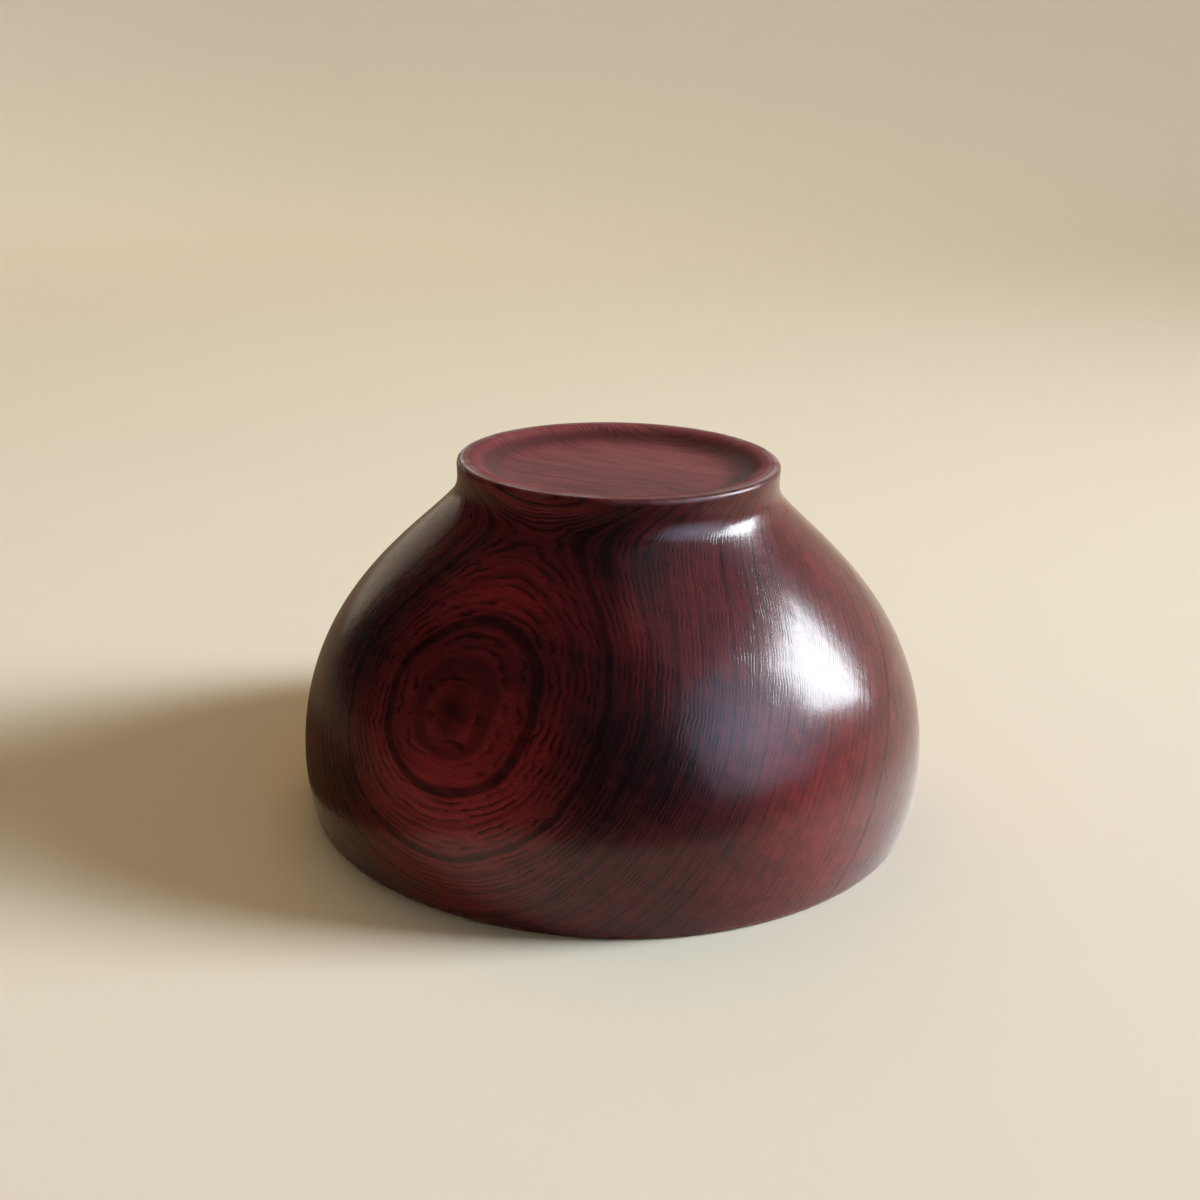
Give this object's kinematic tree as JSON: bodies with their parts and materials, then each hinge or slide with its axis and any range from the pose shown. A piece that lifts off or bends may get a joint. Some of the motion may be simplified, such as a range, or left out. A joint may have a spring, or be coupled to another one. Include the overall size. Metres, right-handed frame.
{
  "type": "soup bowl",
  "caption": "Round-bellied soup bowl turned from one piece of ringed wood, with a low foot ring, finished in wine-red wiped lacquer and stored upside down on its rim.",
  "frame": {"origin": "centre of the rim's standing edge, with the bowl upside down", "axes": "+Z along the turning axis, up from the rim to the foot; X and Y lie in the rim's plane"},
  "size_m": [0.12, 0.12, 0.068],
  "materials": {
    "wood": "turned and sanded",
    "outside_lacquer": "gloss, with the grain showing through",
    "inside_lacquer": "gloss, with the grain showing through",
    "recess_lacquer": "satin, wiped thin"
  },
  "bodies": {
    "root": {"turned_wood_body": "wood", "outside_lacquer": "outside_lacquer", "inside_lacquer": "inside_lacquer", "foot_recess_lacquer": "recess_lacquer"}
  },
  "joints": []
}
